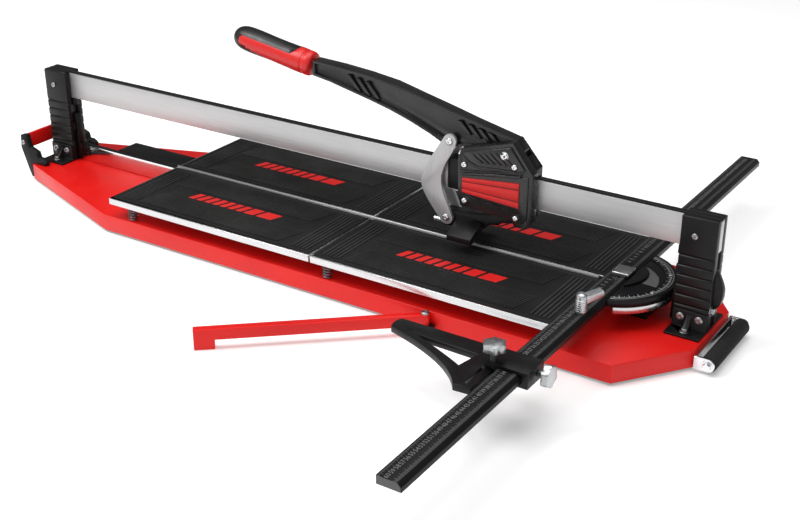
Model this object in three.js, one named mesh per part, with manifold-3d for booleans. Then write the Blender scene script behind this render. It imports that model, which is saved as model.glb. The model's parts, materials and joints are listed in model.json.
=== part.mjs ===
// Manual rail tile cutter: a folded steel pan, two posts with a guide rail, a sliding carriage with a
// scoring and breaking lever, four sprung table plates and a swivelling measuring guide.
// Millimetres, +Z up, +X along the rail, -Y towards the user. x is measured from the middle of the pan's
// wide part, y from the cut line and z from the floor; the last lines centre the whole model on x and y.
import * as THREE from "three";
import { mergeVertices } from "three/addons/utils/BufferGeometryUtils.js";
import Module from "manifold-3d";

const wasm = await Module();
wasm.setup();

// ---------------------------------------------------------------- driving dimensions
const fit = 0.3; // gap between touching pieces
const rubberFootHeight = 4;

const pan = {
  wideX: 463, wideY: 167, leftX: -738, leftY: 70, rightX: 540, rightY: 64, skirt: 29, sheet: 2.5,
};
const panBottom = rubberFootHeight;
const panTop = panBottom + pan.skirt;

const rail = { bottom: 152, top: 198, half: 5.5 };
const strip = { height: 3, half: 4.5 };
const post = { leftX: -711, rightX: 511, halfLength: 26, half: 17, top: 201, plate: 3, plateHalf: 47 };

const table = {
  leftX: -443, rightX: 378, gapX: -32, front: -171, rear: 171, frontInner: -6, rearInner: 5.5,
};
const plateTop = 68;
const plateThickness = 11;
const padInset = 4;
const padInsetInside = 1.5; // beside the cut line and between two plates
const padRecess = 2.5;
const padProud = 1.6;
const springRadius = 8;
const ridgeTop = 70.5;

const guideX = 386; // protractor pivot on the cut line
const disc = { radius: 91, bottom: 71.7, top: 82, reach: 71 };
const shelf = { radius: 88, bottom: 60, top: 71.4, reach: 47 };
const ruler = { left: 381, right: 414, front: -605, rear: 545, bottom: 72, top: 84 };
const stopY = -283; // face of the side stop

const armPivot = { x: 177, y: -176 };
const arm = { length: 329, angle: 220.8, half: 6.5, bottom: 15, top: 32.5, footLength: 30 };

const carriage = { right: 259, half: 11, frontFace: -27, rearFace: 17, bottom: 138.5, top: 213 };
const leverPivot = { x: 218, z: 234, boltRadius: 4 };
const rockerPivot = { x: 236, z: 134, pinRadius: 4 };
const linkTop = { x: 118, z: 232 };
const linkBottom = { x: 114, z: 109 };
const rollerRadius = 5;
const leverFlange = 4;
const leverWebHalf = 4;
const gripTilt = 9.5;
const gripRadius = 19.5;
const gripBase = { x: -140, z: 302.5 };
const wheel = { x: 112, z: 97, radius: 11 };

// ---------------------------------------------------------------- finishes
const finish = {
  redCoat: { color: 0xe0231a, roughness: 0.35, metalness: 0.0 },
  blackCast: { color: 0x1c1d1f, roughness: 0.5, metalness: 0.1 },
  blackPlastic: { color: 0x202224, roughness: 0.55, metalness: 0.0 },
  rubber: { color: 0x2a2b2d, roughness: 0.85, metalness: 0.0 },
  aluminium: { color: 0xc9ccd0, roughness: 0.35, metalness: 0.9 },
  steel: { color: 0x9a9da2, roughness: 0.4, metalness: 0.9 },
  chrome: { color: 0xdfe2e6, roughness: 0.15, metalness: 1.0 },
};

const model = new THREE.Group();

function put(name, geometry, look, group = model) {
  const mesh = new THREE.Mesh(geometry, new THREE.MeshStandardMaterial(finish[look]));
  mesh.name = name;
  group.add(mesh);
  return mesh;
}

// ---------------------------------------------------------------- shape helpers
const degrees = THREE.MathUtils.degToRad;

function box(x0, x1, y0, y1, z0, z1) {
  const geometry = new THREE.BoxGeometry(x1 - x0, y1 - y0, z1 - z0);
  return geometry.translate((x0 + x1) / 2, (y0 + y1) / 2, (z0 + z1) / 2);
}

function shapeOf(outline) {
  if (outline instanceof THREE.Shape) return outline;
  return new THREE.Shape(outline.map(([a, b]) => new THREE.Vector2(a, b)));
}

function extrude(outline, depth, curveSegments = 8) {
  return new THREE.ExtrudeGeometry(shapeOf(outline), { depth, bevelEnabled: false, curveSegments });
}

// outline in x and y, standing from z0 to z1
function upright(outline, z0, z1, curveSegments) {
  return extrude(outline, z1 - z0, curveSegments).translate(0, 0, z0);
}

// outline in x and z, from y0 to y1
function sideways(outline, y0, y1, curveSegments) {
  const basis = new THREE.Matrix4().makeBasis(
    new THREE.Vector3(1, 0, 0), new THREE.Vector3(0, 0, 1), new THREE.Vector3(0, -1, 0));
  return extrude(outline, y1 - y0, curveSegments).applyMatrix4(basis).translate(0, y1, 0);
}

// outline in y and z, from x0 to x1
function lengthways(outline, x0, x1, curveSegments) {
  const basis = new THREE.Matrix4().makeBasis(
    new THREE.Vector3(0, 1, 0), new THREE.Vector3(0, 0, 1), new THREE.Vector3(1, 0, 0));
  return extrude(outline, x1 - x0, curveSegments).applyMatrix4(basis).translate(x0, 0, 0);
}

// cylinder centred at a point, along x, y or z
function rod(axis, x, y, z, radius, length, sides = 24) {
  const geometry = new THREE.CylinderGeometry(radius, radius, length, sides);
  if (axis === "x") geometry.rotateZ(-Math.PI / 2);
  if (axis === "z") geometry.rotateX(Math.PI / 2);
  return geometry.translate(x, y, z);
}

function solid(geometry) {
  const bare = geometry.clone();
  bare.deleteAttribute("normal");
  bare.deleteAttribute("uv");
  const merged = mergeVertices(bare, 1e-4);
  return new wasm.Manifold(new wasm.Mesh({
    numProp: 3,
    vertProperties: Float32Array.from(merged.attributes.position.array),
    triVerts: Uint32Array.from(merged.index.array),
  }));
}

function geometryOf(manifold) {
  const mesh = manifold.getMesh();
  const geometry = new THREE.BufferGeometry();
  geometry.setAttribute("position", new THREE.BufferAttribute(mesh.vertProperties, 3));
  geometry.setIndex(new THREE.BufferAttribute(mesh.triVerts, 1));
  geometry.computeVertexNormals();
  return geometry;
}

function join(first, ...others) {
  return geometryOf(others.reduce((whole, piece) => whole.add(solid(piece)), solid(first)));
}

function cut(first, ...tools) {
  return geometryOf(tools.reduce((whole, tool) => whole.subtract(solid(tool)), solid(first)));
}

// moves each side of an anticlockwise outline inwards by a distance
function inset(outline, distance) {
  const count = outline.length;
  return outline.map(([x, y], i) => {
    const [px, py] = outline[(i + count - 1) % count];
    const [nx, ny] = outline[(i + 1) % count];
    const before = new THREE.Vector2(x - px, y - py).normalize();
    const after = new THREE.Vector2(nx - x, ny - y).normalize();
    const normal = new THREE.Vector2(-before.y - after.y, before.x + after.x).normalize();
    const scale = distance / (normal.x * -before.y + normal.y * before.x);
    return [x + normal.x * scale, y + normal.y * scale];
  });
}

// ---------------------------------------------------------------- pan, feet and centre beam
function panOutline(shrink) {
  const outline = [
    [pan.leftX, -pan.leftY], [-pan.wideX, -pan.wideY], [pan.wideX, -pan.wideY], [pan.rightX, -pan.rightY],
    [pan.rightX, pan.rightY], [pan.wideX, pan.wideY], [-pan.wideX, pan.wideY], [pan.leftX, pan.leftY],
  ];
  return shrink ? inset(outline, shrink) : outline;
}

function basePan() {
  const outside = upright(panOutline(0), panBottom, panTop);
  const hollow = upright(panOutline(pan.sheet), panBottom - 1, panTop - pan.sheet);
  return cut(outside, hollow);
}

function addRubberFeet() {
  const top = panTop - pan.sheet - fit;
  const sides = { left: -430, right: 430 };
  for (const [side, x] of Object.entries(sides)) {
    put(`rubber_foot_front_${side}`, rod("z", x, -138, top / 2, 14, top), "rubber");
    put(`rubber_foot_rear_${side}`, rod("z", x, 138, top / 2, 14, top), "rubber");
  }
}

const beamRight = 364;
const beamTop = 61;

function addCentre() {
  const beamLeft = post.leftX + post.halfLength + 8;
  put("centre_beam", join(
    box(beamLeft, table.leftX - 4, -4, 4, panTop + fit, beamTop + 4),
    box(table.leftX - 6, beamRight, -4, 4, panTop + fit, beamTop)), "steel");
  const ridgeBottom = beamTop + fit;
  const ridgeShoulder = ridgeTop - 3;
  const ridge = [
    [-3, ridgeBottom], [3, ridgeBottom], [3, ridgeShoulder], [1.2, ridgeTop],
    [-1.2, ridgeTop], [-3, ridgeShoulder],
  ];
  put("breaking_ridge", lengthways(ridge, table.leftX, beamRight), "chrome");
  const ledgeTop = 62;
  put("rear_ledge", join(
    box(-600, table.leftX - 2, 14, 60, ledgeTop - 4, ledgeTop),
    box(-598, table.leftX - 4, 30, 34, panTop + fit, ledgeTop - 2)), "blackCast");
}

// ---------------------------------------------------------------- posts and rail
const ribCount = 6;
const ribPitch = 15;
const ribBottom = 66;

// one half of a post in y and z, its outer face stepped with saw-tooth ribs
function cheekOutline(side) {
  const inner = rail.half + fit;
  const outline = [[inner, panTop + post.plate + 2 * fit], [post.half, panTop + post.plate + 2 * fit]];
  for (let i = 0; i < ribCount; i += 1) {
    const z = ribBottom + i * ribPitch;
    outline.push([post.half, z], [post.half - 2, z + 1.5], [post.half, z + 4]);
  }
  outline.push([post.half, post.top - 1.5], [post.half - 1.5, post.top], [inner, post.top]);
  return side > 0 ? outline : outline.map(([y, z]) => [-y, z]).reverse();
}

// plate between the cheeks below the rail; outward is +1 where the post's outer side faces +X
function postWeb(x, outward) {
  const bottom = panTop + post.plate + 2 * fit;
  const top = rail.bottom - fit;
  const outer = post.halfLength - 2;
  const web = new THREE.Shape();
  web.moveTo(-outward * 31, top);
  web.lineTo(-outward * 34, bottom);
  web.lineTo(outward * outer, bottom);
  web.lineTo(outward * outer, 62);
  web.quadraticCurveTo(outward * (outer + 17), 72, outward * (outer + 14), 98);
  web.quadraticCurveTo(outward * (outer + 10), 112, outward * outer, 126);
  web.lineTo(outward * outer, top);
  const windows = [[27, 122], [25, 86]].map(([inward, z]) => {
    const near = -outward * inward;
    return box(x + near - 5, x + near + 5, -20, 20, z, z + 16);
  });
  return cut(sideways(web, -rail.half, rail.half).translate(x, 0, 0), ...windows);
}

// base plate with a braced tab in front of the post and a low tab behind it
function postFoot(x) {
  const tabY = post.half + fit;
  const plateBottom = panTop + fit;
  const plateFace = plateBottom + post.plate;
  const frontTab = box(x - 25, x + 25, -tabY - 3, -tabY, plateBottom, 62);
  const rearTab = box(x - 12, x + 12, tabY, tabY + 3, plateBottom, 46);
  const brace = [[-36, plateFace + 2], [-40, plateFace - 1], [-tabY - 2, plateFace - 1], [-tabY - 2, 58]];
  const plate = box(x - 26, x + 26, -post.plateHalf, post.plateHalf, plateBottom, plateFace);
  return join(plate, frontTab, rearTab, lengthways(brace, x - 4, x + 4));
}

function addPosts() {
  const places = { left: [post.leftX, -1], right: [post.rightX, 1] };
  for (const [side, [x, outward]] of Object.entries(places)) {
    const x0 = x - post.halfLength;
    const x1 = x + post.halfLength;
    put(`${side}_post_front_cheek`, lengthways(cheekOutline(-1), x0, x1), "blackCast");
    put(`${side}_post_rear_cheek`, lengthways(cheekOutline(1), x0, x1), "blackCast");
    put(`${side}_post_web`, postWeb(x, outward), "blackCast");
    put(`${side}_post_foot`, postFoot(x), "blackCast");
  }
}

function addRail() {
  const x0 = post.leftX - post.halfLength;
  const x1 = post.rightX + post.halfLength;
  put("guide_rail", box(x0, x1, -rail.half, rail.half, rail.bottom, rail.top), "aluminium");
  const bottom = rail.top + fit;
  const top = bottom + strip.height - fit;
  put("rail_top_strip", box(x0, x1, -strip.half, strip.half, bottom, top), "blackPlastic");
}

// ---------------------------------------------------------------- end handles
function addLeftHandle() {
  const bracket = [
    [pan.leftX - 1, 6], [pan.leftX - 1, 40], [-724, 44], [-727, 56], [-745, 62],
    [-751, 86], [-764, 84], [-766, 60], [-752, 20], [-746, 6],
  ];
  const tabBottom = panTop + fit;
  const tab = [[pan.leftX - 4, tabBottom], [-706, tabBottom], [-706, 40], [-716, 46], [pan.leftX - 4, 44]];
  const clear = upright(panOutline(-fit), 0, panTop + fit);
  for (const [side, y] of [["front", -68], ["rear", 56]]) {
    const whole = join(sideways(bracket, y, y + 12), sideways(tab, y, y + 12));
    put(`left_handle_${side}_bracket`, cut(whole, clear), "blackPlastic");
  }
  put("left_handle_strap", box(-761, -755, -56 + fit, 56 - fit, 57, 84), "redCoat");
}

const rollerX = 560;
const rollerZ = 15;
const handleRadius = 12;
const rollerHalf = 66;

function addRightHandle() {
  const ear = new THREE.Shape();
  const earRadius = 10;
  ear.moveTo(pan.rightX + fit, rollerZ - earRadius);
  ear.lineTo(rollerX, rollerZ - earRadius);
  ear.absarc(rollerX, rollerZ, earRadius, -Math.PI / 2, Math.PI / 2);
  ear.lineTo(pan.rightX + fit, rollerZ + earRadius);
  const inner = rollerHalf + fit;
  const outer = inner + 4;
  const back = pan.rightX + fit;
  const bracket = join(
    sideways(ear, -outer, -inner),
    sideways(ear, inner, outer),
    box(back, back + 4, -outer, outer, rollerZ - earRadius, rollerZ + earRadius),
    rod("y", rollerX, 0, rollerZ, 5, 2 * inner + 2));
  put("right_handle_bracket", bracket, "chrome");
  const sleeve = rod("y", rollerX, 0, rollerZ, handleRadius, 2 * rollerHalf, 32);
  put("right_handle_roller", cut(sleeve, rod("y", rollerX, 0, rollerZ, 5 + fit, 200)), "rubber");
}

// ---------------------------------------------------------------- sprung tables
function addTables() {
  const spans = {
    left: [table.leftX, table.gapX - 1.5, -404],
    right: [table.gapX + 1.5, table.rightX, -8],
  };
  const rows = { front: [table.front, table.frontInner, -157], rear: [table.rearInner, table.rear, 157] };
  for (const [row, [y0, y1, springY]] of Object.entries(rows)) {
    for (const [span, [x0, x1, springX]] of Object.entries(spans)) {
      const left = x0 + (span === "left" ? padInset : padInsetInside);
      const right = x1 - (span === "left" ? padInsetInside : padInset);
      const near = y0 + (row === "front" ? padInset : padInsetInside);
      const far = y1 - (row === "front" ? padInsetInside : padInset);
      const padBottom = plateTop - padRecess;
      const tray = box(x0, x1, y0, y1, plateTop - plateThickness, plateTop);
      const recess = box(left, right, near, far, padBottom, plateTop + 1);
      const pad = box(
        left + fit, right - fit, near + fit, far - fit, padBottom + fit, plateTop + padProud);
      put(`${row}_${span}_plate`, cut(tray, recess), "aluminium");
      put(`${row}_${span}_pad`, pad, "rubber");
      const springBottom = panTop + fit;
      const springTop = plateTop - plateThickness - fit;
      const length = springTop - springBottom;
      put(`${row}_${span}_spring`,
        rod("z", springX, springY, springBottom + length / 2, springRadius, length, 16), "steel");
    }
  }
}

// ---------------------------------------------------------------- protractor and measuring guide
// wedge of a disc about the pivot, cut off straight at its left
function sector(radius, reach, left, leftHalf) {
  const outline = new THREE.Shape();
  outline.absarc(0, 0, radius, -degrees(reach), degrees(reach));
  outline.lineTo(left, leftHalf);
  outline.lineTo(left, -leftHalf);
  outline.closePath();
  return outline;
}

function addShelf() {
  const outline = sector(shelf.radius, shelf.reach, ruler.left - guideX, 14);
  const plate = upright(outline, shelf.bottom, shelf.top, 40);
  const pillar = box(20, 64, -24, 24, panTop + fit, shelf.bottom + 1);
  const pin = rod("z", 0, 0, shelf.top + 2, 3, 8);
  const mesh = put("protractor_support", join(plate, pillar, pin), "blackCast");
  mesh.position.x = guideX;
}

// the guide's own pieces, placed from the protractor's pivot
const guide = new THREE.Group();

function addRuler() {
  const x0 = ruler.left - guideX;
  const x1 = ruler.right - guideX;
  const chamfer = 5;
  const section = [
    [x0, ruler.bottom], [x1, ruler.bottom], [x1, ruler.top - chamfer], [x1 - chamfer, ruler.top],
    [x0, ruler.top],
  ];
  const bar = sideways(section, ruler.front, ruler.rear);
  const pinHole = rod("z", 0, 0, ruler.bottom + 3, 3 + fit, 10);
  put("angle_ruler", cut(bar, pinHole), "blackCast", guide);
  put("guide_hub", box(3, x1, -14, 14, ruler.top + fit, ruler.top + 6), "aluminium", guide);
  const edge = x1 + fit;
  const wedge = sector(disc.radius, disc.reach, edge, edge * Math.tan(degrees(disc.reach)));
  put("protractor_disc", upright(wedge, disc.bottom, disc.top, 40), "blackCast", guide);
}

const clampPlace = { x: 16, y: -142 };

function addClampLever() {
  const group = new THREE.Group();
  group.position.set(clampPlace.x, clampPlace.y, ruler.top + fit);
  group.rotation.z = degrees(56);
  const hub = rod("z", 0, 0, 12.5, 7.5, 25);
  const handle = sideways([[0, 12], [30, 20], [32, 24], [30, 29], [0, 24]], -5.5, 5.5);
  put("clamp_lever", join(hub, handle), "steel", group);
  guide.add(group);
}

function addSideStop() {
  const face = stopY;
  const x = (value) => value - guideX;
  const frame = new THREE.Shape();
  frame.moveTo(x(208), face);
  frame.lineTo(x(352), face);
  frame.lineTo(x(352), face - 8);
  frame.lineTo(x(376), face - 8);
  frame.lineTo(x(376), face - 108);
  frame.lineTo(x(351), face - 110);
  frame.quadraticCurveTo(x(318), face - 58, x(206), face - 26);
  frame.quadraticCurveTo(x(200), face - 8, x(208), face);
  const opening = new THREE.Shape();
  opening.moveTo(x(246), face - 27);
  opening.lineTo(x(341), face - 30);
  opening.lineTo(x(334), face - 66);
  opening.quadraticCurveTo(x(296), face - 46, x(246), face - 27);
  const slot = box(x(361), x(365), face - 100, face - 56, 60, 100);
  const whole = upright(frame, ruler.bottom, ruler.top - 2, 10);
  put("side_stop_frame", cut(whole, upright(opening, 60, 100), slot), "blackCast", guide);

  const clampBottom = ruler.bottom - 5;
  const clampTop = ruler.top + 5;
  const block = box(x(368), x(424), face - 52, face - 9, clampBottom, clampTop);
  const room = 2 * fit;
  const rulerRoom = box(
    x(ruler.left) - room, x(ruler.right) + room, face - 60, face, ruler.bottom - room, ruler.top + room);
  const frameRoom = box(x(350), x(376) + fit, face - 120, face, ruler.bottom - fit, ruler.top - 2 + fit);
  const tab = rod("z", x(372), face - 44, clampTop - 2.5, 12, 5);
  put("stop_clamp", cut(join(block, tab), rulerRoom, frameRoom), "blackCast", guide);
  addKnobs(x, face - 44, face - 24, clampTop);
}

function lobedKnob(radius, lobes, height) {
  const outline = new THREE.Shape();
  const steps = lobes * 6;
  for (let i = 0; i <= steps; i += 1) {
    const angle = (i / steps) * 2 * Math.PI;
    const r = radius * (1 + 0.09 * Math.cos(lobes * angle));
    if (i === 0) outline.moveTo(r, 0);
    else outline.lineTo(r * Math.cos(angle), r * Math.sin(angle));
  }
  return upright(outline, 0, height);
}

function addKnobs(x, topY, sideY, clampTop) {
  const knob = (stem) => join(
    rod("z", 0, 0, stem / 2 + 0.5, 5, stem + 1), lobedKnob(14.5, 6, 10.5).translate(0, 0, stem));
  const upper = put("stop_top_knob", knob(15), "chrome", guide);
  upper.position.set(x(372), topY, clampTop + fit);
  const sideKnob = put("stop_side_knob", knob(9), "chrome", guide);
  sideKnob.position.set(x(424) + fit, sideY, (ruler.bottom + ruler.top) / 2);
  sideKnob.rotation.y = Math.PI / 2;
}

// ---------------------------------------------------------------- support arm
function addSupportArm() {
  const group = new THREE.Group();
  group.position.set(armPivot.x, armPivot.y, 0);
  group.rotation.z = degrees(arm.angle);
  const bar = new THREE.Shape();
  bar.absarc(0, 0, arm.half, Math.PI / 2, (3 * Math.PI) / 2);
  bar.lineTo(arm.length, -arm.half);
  bar.lineTo(arm.length, arm.half);
  bar.closePath();
  const foot = box(arm.length - arm.footLength, arm.length, -arm.half, arm.half, 0.5, arm.top - 2);
  const bore = rod("z", 0, 0, arm.bottom, 3 + fit, 24);
  put("support_arm", cut(join(upright(bar, arm.bottom, arm.top), foot), bore), "redCoat", group);
  model.add(group);
  const top = arm.bottom - fit;
  const ledge = box(armPivot.x - 12, armPivot.x + 12, armPivot.y - 8, -pan.wideY - fit, top - 5, top);
  put("arm_bracket", join(ledge, rod("z", armPivot.x, armPivot.y, arm.bottom + 4, 3, 14)), "blackCast");
}

// ---------------------------------------------------------------- carriage
const rollerPlaces = [162, 246];

// the rear cover is trimmed along its right and top edges
function coverOutline(trim) {
  const right = 263 - trim;
  return [
    [144, 140], [232, 135], [236, 126], [right - 11, 126], [right, 136], [right, 212],
    [right - 7, 220], [229 - trim, 254 - trim / 2], [144, 230 - trim / 2], [139, 211], [140, 163],
  ];
}

function addCovers() {
  const inner = carriage.half + fit;
  const bore = rod("y", leverPivot.x, 0, leverPivot.z, leverPivot.boltRadius + fit, 80);
  const front = sideways(coverOutline(0), carriage.frontFace, -inner);
  put("carriage_front_cover", cut(front, bore), "blackCast");
  const pin = rod("y", rockerPivot.x, 0.5, rockerPivot.z, rockerPivot.pinRadius, 2 * inner);
  const rear = cut(sideways(coverOutline(7), inner, carriage.rearFace), bore);
  put("carriage_rear_cover", join(rear, pin), "blackCast");
}

function carriageBody() {
  const half = carriage.half;
  const nose = new THREE.Shape();
  nose.absarc(119, 0, half, Math.PI / 2, (3 * Math.PI) / 2);
  nose.lineTo(144, -half);
  nose.lineTo(144, half);
  const block = box(142, carriage.right, -half, half, carriage.bottom, carriage.top);
  const horn = sideways([[242, 200], [259, 200], [254, 214], [242, 230]], -half, half);
  const channelTop = rail.top + strip.height + 2 * fit;
  const channel = box(100, 300, -rail.half - 1, rail.half + 1, rail.bottom - 2 * fit, channelTop);
  const pockets = rollerPlaces.map((x) =>
    box(x - 8, x + 8, -rail.half - 0.5, rail.half + 0.5, carriage.bottom + 1.5, carriage.top - 1));
  const rockerRoom = box(222, 250, -half - 1, half + 1, carriage.bottom - 1, 145);
  return cut(join(block, upright(nose, 156, 204, 16), horn), channel, ...pockets, rockerRoom);
}

function addRollers() {
  const upper = rail.top + strip.height + fit + rollerRadius;
  const lower = rail.bottom - fit - rollerRadius;
  rollerPlaces.forEach((x, i) => {
    const side = ["left", "right"][i];
    put(`upper_${side}_roller`, rod("y", x, 0, upper, rollerRadius, 2 * rail.half - 1), "steel");
    put(`lower_${side}_roller`, rod("y", x, 0, lower, rollerRadius, 2 * rail.half - 1), "steel");
  });
}

// ---------------------------------------------------------------- lever, links and breaker
function arcPoints(x, z, radius, from, to, count) {
  return Array.from({ length: count + 1 }, (unused, i) => {
    const angle = degrees(from + ((to - from) * i) / count);
    return [x + radius * Math.cos(angle), z + radius * Math.sin(angle)];
  });
}

function leverOutline() {
  return [
    ...arcPoints(leverPivot.x, leverPivot.z, 18, -120, 10, 6),
    [226, 252], [153, 268], [110, 278.5], [62, 289.5], [13, 301], [-35, 307], [-85, 311], [-135, 313],
    [-135, 289], [-102, 284], [-65, 276], [-28, 268], [9, 259],
    [45, 248], [80, 235], [104, 224], [128, 224], [140, 226.5], [160, 225],
  ];
}

function addLever() {
  const half = carriage.half;
  const outline = leverOutline();
  const recess = inset(outline, leverFlange);
  const bore = rod("y", leverPivot.x, 0, leverPivot.z, leverPivot.boltRadius + fit, 80);
  const hub = rod("y", leverPivot.x, 0, leverPivot.z, 16, 2 * half, 32);
  const linkBoss = rod("y", linkTop.x, 0, linkTop.z, 9, 2 * half);
  const cored = cut(sideways(outline, -half, half),
    sideways(recess, -half - 1, -leverWebHalf), sideways(recess, leverWebHalf, half + 1));
  put("lever", cut(join(cored, hub, linkBoss), bore), "blackCast");
  addLeverBolt();
  addGrip();
}

function addLeverBolt() {
  const head = { radius: 6.5, thickness: 3.5 };
  const front = carriage.frontFace - fit - head.thickness;
  const rear = carriage.rearFace + fit + head.thickness;
  const span = (y0, y1, radius, sides) =>
    rod("y", leverPivot.x, (y0 + y1) / 2, leverPivot.z, radius, y1 - y0, sides);
  put("lever_pivot_bolt", join(
    span(front + 1, rear - 1, leverPivot.boltRadius),
    span(front, front + head.thickness, head.radius),
    span(rear - head.thickness, rear, head.radius, 6)), "steel");
}

function addGrip() {
  const profile = [
    [0, 0], [15, 0], [gripRadius - 1, 6], [gripRadius, 30], [gripRadius - 0.5, 75],
    [gripRadius + 0.5, 115], [gripRadius - 0.5, 137], [12.5, 151], [0, 155],
  ];
  const grip = new THREE.LatheGeometry(profile.map(([r, z]) => new THREE.Vector2(r, z)), 24);
  grip.rotateZ(Math.PI / 2).rotateY(degrees(gripTilt)).translate(gripBase.x, 0, gripBase.z);
  put("lever_grip", grip, "rubber");
}

function linkOutline() {
  const outline = new THREE.Shape();
  outline.moveTo(linkTop.x + 11, linkTop.z);
  outline.absarc(linkTop.x, linkTop.z, 11, 0, degrees(150));
  outline.bezierCurveTo(90, 208, 69, 178, 69, 158);
  outline.bezierCurveTo(69, 142, 92, 118, linkBottom.x - 9, linkBottom.z - 7);
  outline.absarc(linkBottom.x, linkBottom.z, 11, degrees(220), degrees(370));
  outline.bezierCurveTo(114, 134, 98, 160, 106, 182);
  outline.bezierCurveTo(111, 200, 124, 212, linkTop.x + 11, linkTop.z);
  return outline;
}

function addLinks() {
  const inner = carriage.half + fit;
  put("link_front", sideways(linkOutline(), -inner - 5, -inner, 8), "steel");
  put("link_rear", sideways(linkOutline(), inner, inner + 5, 8), "steel");
}

function addBreaker() {
  const arm = [
    [104, 102], [150, 98], [205, 118], [236, 126], [242, 134],
    [236, 142], [227, 139], [212, 131], [150, 120], [106, 118],
  ];
  const wing = [
    [-48, 89], [-38, 89], [-12, 101], [12, 101], [38, 89],
    [48, 89], [48, 97], [20, 113], [-20, 113], [-48, 97],
  ];
  const boss = rod("y", rockerPivot.x, 0, rockerPivot.z, 8.5, 2 * carriage.half - 0.6);
  const bore = rod("y", rockerPivot.x, 0, rockerPivot.z, rockerPivot.pinRadius + fit, 80);
  const linkBlock = box(106, 126, -carriage.half, carriage.half, 101, 118);
  const fork = box(105, 119, -7, 7, 92, 106);
  const wheelRoom = rod("y", wheel.x, 0, wheel.z, wheel.radius + 1.5, 5, 24);
  const axle = rod("y", wheel.x, 0, wheel.z, 2, 12);
  const whole = join(sideways(arm, -10, 10), lengthways(wing, 134, 175), boss, linkBlock, fork);
  put("breaker_arm", join(cut(whole, bore, wheelRoom), axle), "blackCast");

  const hole = 2 + fit;
  const rim = [
    [hole, -1.5], [6, -1.5], [wheel.radius, -0.2], [wheel.radius, 0.2], [6, 1.5], [hole, 1.5], [hole, -1.5],
  ];
  const disk = new THREE.LatheGeometry(rim.map(([r, y]) => new THREE.Vector2(r, y)), 32);
  put("scoring_wheel", disk.translate(wheel.x, 0, wheel.z), "steel");
}

// ---------------------------------------------------------------- assembly
put("base_pan", basePan(), "redCoat");
addRubberFeet();
addCentre();
addPosts();
addRail();
addLeftHandle();
addRightHandle();
addTables();
addShelf();
guide.position.set(guideX, 0, 0);
addRuler();
addClampLever();
addSideStop();
model.add(guide);
addSupportArm();
addCovers();
put("carriage_body", carriageBody(), "blackCast");
addRollers();
addLever();
addLinks();
addBreaker();

const extent = new THREE.Box3().setFromObject(model);
model.position.set(-(extent.min.x + extent.max.x) / 2, -(extent.min.y + extent.max.y) / 2, -extent.min.z);

export default model;
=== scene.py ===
"""Looks of the tile cutter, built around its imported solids. Metres, in the frame of the solids."""

import json
import math

import bmesh
import bpy
from mathutils import Matrix, Vector


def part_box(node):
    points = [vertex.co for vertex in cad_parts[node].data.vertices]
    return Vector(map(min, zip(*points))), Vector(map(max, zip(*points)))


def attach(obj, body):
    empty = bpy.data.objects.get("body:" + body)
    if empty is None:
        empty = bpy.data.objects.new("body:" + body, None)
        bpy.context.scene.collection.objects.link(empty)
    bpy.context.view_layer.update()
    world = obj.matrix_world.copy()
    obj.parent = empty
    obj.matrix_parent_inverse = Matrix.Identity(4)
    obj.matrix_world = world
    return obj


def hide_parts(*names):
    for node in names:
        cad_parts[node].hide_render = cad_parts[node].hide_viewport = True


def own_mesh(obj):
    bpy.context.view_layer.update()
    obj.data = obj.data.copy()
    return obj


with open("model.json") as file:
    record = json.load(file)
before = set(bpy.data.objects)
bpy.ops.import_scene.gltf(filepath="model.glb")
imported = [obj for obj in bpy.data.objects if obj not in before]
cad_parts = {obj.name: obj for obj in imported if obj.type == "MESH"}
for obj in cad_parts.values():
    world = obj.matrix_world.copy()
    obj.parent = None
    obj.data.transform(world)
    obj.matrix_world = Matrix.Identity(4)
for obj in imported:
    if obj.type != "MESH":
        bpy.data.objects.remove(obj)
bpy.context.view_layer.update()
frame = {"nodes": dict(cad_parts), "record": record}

MM = 0.001

record = frame["record"]
body_of = {node: body for body, nodes in record["behaviour"]["bodies"].items() for node in nodes}
slot_of = {entry["node"]: entry["material_slot"] for entry in record["subparts"]}

# the cut line and the middle of the pan, from the rail, which runs from 737 mm left to 537 mm right of it
rail_low, rail_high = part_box("guide_rail")
middle = Vector(((rail_low.x + rail_high.x) / 2 + 0.100, (rail_low.y + rail_high.y) / 2, 0))


def at(x, y, z):
    """A place in millimetres: x from the middle of the pan, y from the cut line, z from the floor."""
    return Vector((middle.x + x * MM, middle.y + y * MM, z * MM))


# ---------------------------------------------------------------- finishes
class Value:
    """A number inside a material that takes part in Python sums."""

    def __init__(self, tree, socket):
        self.tree = tree
        self.socket = socket

    def sum_with(self, operation, first, second=None):
        node = self.tree.nodes.new("ShaderNodeMath")
        node.operation = operation
        for place, term in enumerate((first, second)):
            if isinstance(term, Value):
                self.tree.links.new(term.socket, node.inputs[place])
            elif term is not None:
                node.inputs[place].default_value = term
        return Value(self.tree, node.outputs[0])

    def __add__(self, other):
        return self.sum_with("ADD", self, other)

    __radd__ = __add__

    def __mul__(self, other):
        return self.sum_with("MULTIPLY", self, other)

    __rmul__ = __mul__

    def __sub__(self, other):
        return self.sum_with("SUBTRACT", self, other)

    def __rsub__(self, other):
        return self.sum_with("SUBTRACT", other, self)

    def __truediv__(self, other):
        return self.sum_with("DIVIDE", self, other)

    def __lt__(self, other):
        return self.sum_with("LESS_THAN", self, other)

    def __gt__(self, other):
        return self.sum_with("GREATER_THAN", self, other)

    def __abs__(self):
        return self.sum_with("ABSOLUTE", self)

    def fraction(self):
        return self.sum_with("FRACT", self)

    def root(self):
        return self.sum_with("SQRT", self)

    def angle_from(self, other):
        return self.sum_with("ARCTAN2", self, other)

    def between(self, low, high):
        return (self > low) * (self < high)


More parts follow.
